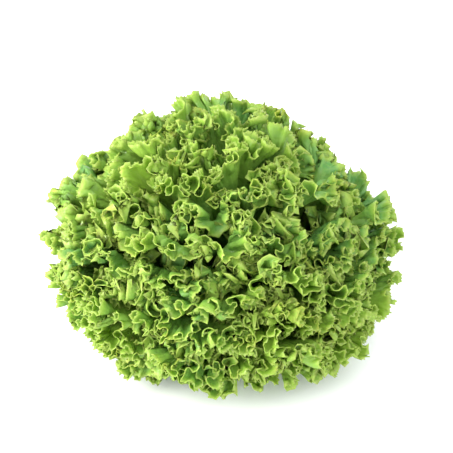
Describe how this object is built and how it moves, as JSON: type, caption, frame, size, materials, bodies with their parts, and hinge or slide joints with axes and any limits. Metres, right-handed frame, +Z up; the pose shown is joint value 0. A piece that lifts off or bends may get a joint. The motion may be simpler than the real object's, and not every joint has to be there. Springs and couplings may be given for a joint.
{
  "type": "leaf lettuce head",
  "caption": "Head of green curly leaf lettuce: ruffled leaves in a spiral round a short cut stem, standing on its cut face.",
  "frame": {"origin": "middle of the stem's cut face, on the surface that the head stands on", "axes": "+Z up along the stem towards the heart, -Y towards the viewer of the reference picture, +X to that viewer's right"},
  "size_m": [0.2785, 0.2642, 0.1905],
  "materials": {
    "outer_leaf": "fresh green leaf with a pale yellow-green frilled margin, soft gloss",
    "heart_leaf": "young yellow-green leaf, soft gloss",
    "stem": "moist pale green stem flesh with a browned cut face"
  },
  "bodies": {
    "root": {"stem": "stem", "leaf_01": "heart_leaf", "leaf_02": "heart_leaf", "leaf_03": "heart_leaf", "leaf_04": "heart_leaf", "leaf_05": "heart_leaf", "leaf_06": "heart_leaf", "leaf_07": "heart_leaf", "leaf_08": "heart_leaf", "leaf_09": "outer_leaf", "leaf_10": "outer_leaf", "leaf_11": "outer_leaf", "leaf_12": "outer_leaf", "leaf_13": "outer_leaf", "leaf_14": "outer_leaf", "leaf_15": "outer_leaf", "leaf_16": "outer_leaf", "leaf_17": "outer_leaf", "leaf_18": "outer_leaf", "leaf_19": "outer_leaf", "leaf_20": "outer_leaf", "leaf_21": "outer_leaf", "leaf_22": "outer_leaf", "leaf_23": "outer_leaf", "leaf_24": "outer_leaf", "leaf_25": "outer_leaf", "leaf_26": "outer_leaf", "leaf_27": "outer_leaf", "leaf_28": "outer_leaf", "leaf_29": "outer_leaf", "leaf_30": "outer_leaf", "leaf_31": "outer_leaf", "leaf_32": "outer_leaf", "leaf_33": "outer_leaf", "leaf_34": "outer_leaf", "leaf_35": "outer_leaf", "leaf_36": "outer_leaf", "leaf_37": "outer_leaf", "leaf_38": "outer_leaf", "leaf_39": "outer_leaf", "leaf_40": "outer_leaf", "leaf_41": "outer_leaf", "leaf_42": "outer_leaf", "leaf_43": "outer_leaf", "leaf_44": "outer_leaf", "leaf_45": "outer_leaf", "leaf_46": "outer_leaf"}
  },
  "joints": []
}
